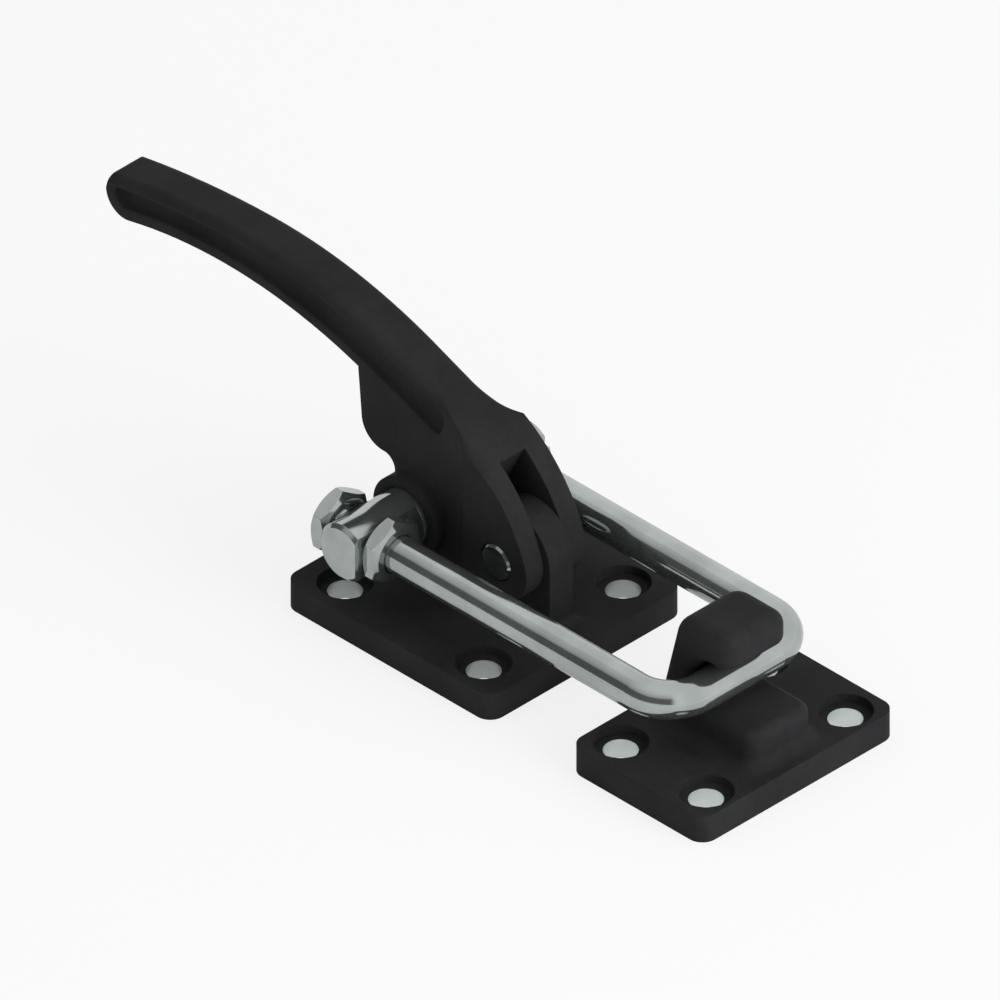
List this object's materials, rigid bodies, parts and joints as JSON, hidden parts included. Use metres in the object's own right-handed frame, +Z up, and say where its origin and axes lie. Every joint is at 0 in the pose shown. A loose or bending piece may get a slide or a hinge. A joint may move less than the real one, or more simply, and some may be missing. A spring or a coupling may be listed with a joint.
{
  "type": "latch toggle clamp",
  "caption": "Latch type toggle clamp: forged base and over-centre lever whose adjustable bent-rod loop pulls on a separate forged hook plate.",
  "frame": {"origin": "middle of the base's four screw holes, on its mounting surface", "axes": "+X from the base towards the hook plate, +Z up from the mounting surface"},
  "size_m": [0.2375, 0.0684, 0.077],
  "materials": {
    "black_forging": "satin black",
    "bright_plate": "bright plated",
    "hard_steel": "ground"
  },
  "bodies": {
    "base": {"base_plate": "black_forging", "catch_plate": "black_forging", "pivot_bush": "hard_steel"},
    "lever": {"handle": "black_forging", "pivot_pin": "bright_plate"},
    "draw_bar": {"cross_shaft": "bright_plate", "u_bolt": "bright_plate", "near_front_nut": "bright_plate", "far_front_nut": "bright_plate", "near_rear_nut": "bright_plate", "far_rear_nut": "bright_plate"}
  },
  "joints": [
    {"name": "lever_turn", "type": "hinge", "parent": "base", "child": "lever", "pos_m": [0.0146, 0, 0.0265], "axis": [0, 1, 0], "range_deg": [0, 70]},
    {"name": "loop_turn", "type": "hinge", "parent": "lever", "child": "draw_bar", "pos_m": [-0.017, 0, 0.0248], "axis": [0, 1, 0], "range_deg": [-52.5, 0]}
  ],
  "couplings": [
    {"joint": "loop_turn", "follows": "lever_turn", "ratio": -0.75}
  ]
}
